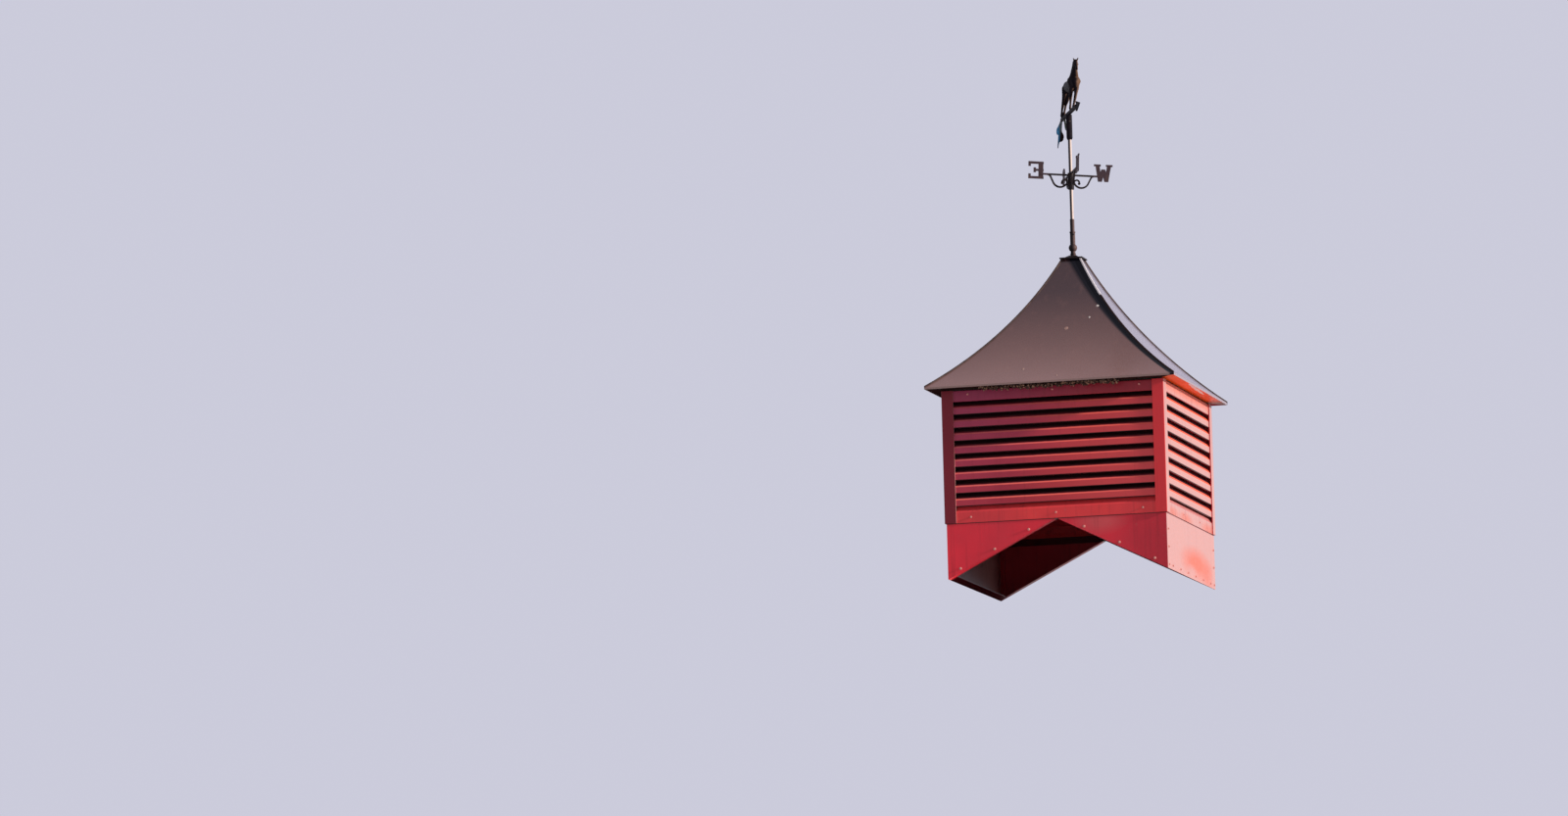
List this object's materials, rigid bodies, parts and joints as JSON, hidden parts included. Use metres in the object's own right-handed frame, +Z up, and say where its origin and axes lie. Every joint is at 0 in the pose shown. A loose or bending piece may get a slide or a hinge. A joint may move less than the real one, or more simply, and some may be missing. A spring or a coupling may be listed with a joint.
{
  "type": "louvred barn cupola with a weathervane",
  "caption": "Louvred steel barn cupola with a notched base that sits astride a ridge, a bell-shaped roof and a turning horse weathervane.",
  "frame": {"origin": "centre of the plan, at the level of the bottom edges of the base's side walls", "axes": "+Z up, front towards -Y, the barn's ridge runs along Y"},
  "size_m": [1.367, 1.367, 2.8582],
  "materials": {
    "red_sheet": "satin barn red coil paint on steel sheet",
    "bronze_sheet": "satin dark bronze coil paint on steel sheet",
    "closure_foam": "black foam closure strip",
    "dark_iron": "dark bronze-black painted iron",
    "aged_copper": "dark aged copper with traces of blue patina"
  },
  "bodies": {
    "cupola": {"base_front": "red_sheet", "base_right": "red_sheet", "base_back": "red_sheet", "base_left": "red_sheet", "post_front_right": "red_sheet", "post_back_right": "red_sheet", "post_back_left": "red_sheet", "post_front_left": "red_sheet", "sill_front": "red_sheet", "sill_right": "red_sheet", "sill_back": "red_sheet", "sill_left": "red_sheet", "louvres_front": "red_sheet", "louvres_right": "red_sheet", "louvres_back": "red_sheet", "louvres_left": "red_sheet", "head_front": "red_sheet", "head_right": "red_sheet", "head_back": "red_sheet", "head_left": "red_sheet", "soffit_front": "red_sheet", "soffit_right": "red_sheet", "soffit_back": "red_sheet", "soffit_left": "red_sheet", "roof_front": "bronze_sheet", "roof_right": "bronze_sheet", "roof_back": "bronze_sheet", "roof_left": "bronze_sheet", "hip_seams": "bronze_sheet", "roof_cap": "dark_iron", "ball_socket": "dark_iron", "rod": "dark_iron", "compass_hub": "dark_iron", "arm_north": "dark_iron", "arm_east": "dark_iron", "arm_south": "dark_iron", "arm_west": "dark_iron", "closure_strip": "closure_foam"},
    "vane": {"vane_tube": "dark_iron", "arrow_shaft": "dark_iron", "arrow_head": "dark_iron", "arrow_tail": "aged_copper", "vane_scroll": "dark_iron", "horse": "aged_copper"}
  },
  "joints": [
    {"name": "vane_spin", "type": "hinge", "parent": "cupola", "child": "vane", "pos_m": [0, 0, 2.57505], "axis": [0, 0, 1], "continuous": true}
  ]
}
